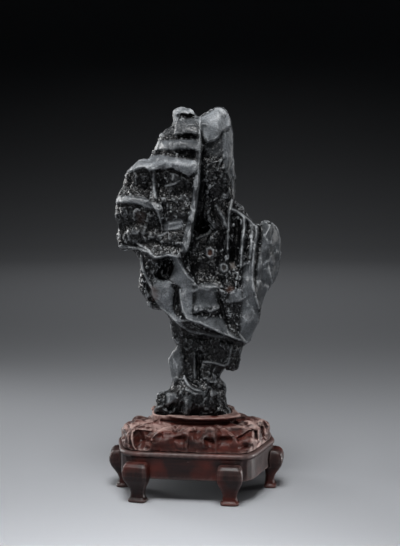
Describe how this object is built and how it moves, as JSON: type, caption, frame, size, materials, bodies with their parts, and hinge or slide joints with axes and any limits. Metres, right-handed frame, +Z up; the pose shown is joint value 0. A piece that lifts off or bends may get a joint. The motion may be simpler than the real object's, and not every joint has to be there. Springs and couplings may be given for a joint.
{
  "type": "scholars rock on carved stand",
  "caption": "Black pitted limestone scholar's rock with pleated ledges and a narrow waist, standing in the socket of its own carved hardwood stand on short cabriole legs.",
  "frame": {"origin": "on the ground under the middle of the object", "axes": "+Z up, the stone's best face towards -Y, +X to the right of that face"},
  "size_m": [0.1773, 0.1486, 0.3811],
  "materials": {
    "stone": "black limestone, pitted by weather and rubbed to a waxy gloss on its ledges",
    "hardwood": "dark red-brown rosewood, oiled to a low gloss and worn pale along its edges"
  },
  "bodies": {
    "root": {"scholars_rock": "stone", "stand_top": "hardwood", "stand_apron": "hardwood", "leg_front_left": "hardwood", "leg_front_right": "hardwood", "leg_left": "hardwood", "leg_right": "hardwood", "leg_back_left": "hardwood", "leg_back_right": "hardwood"}
  },
  "joints": []
}
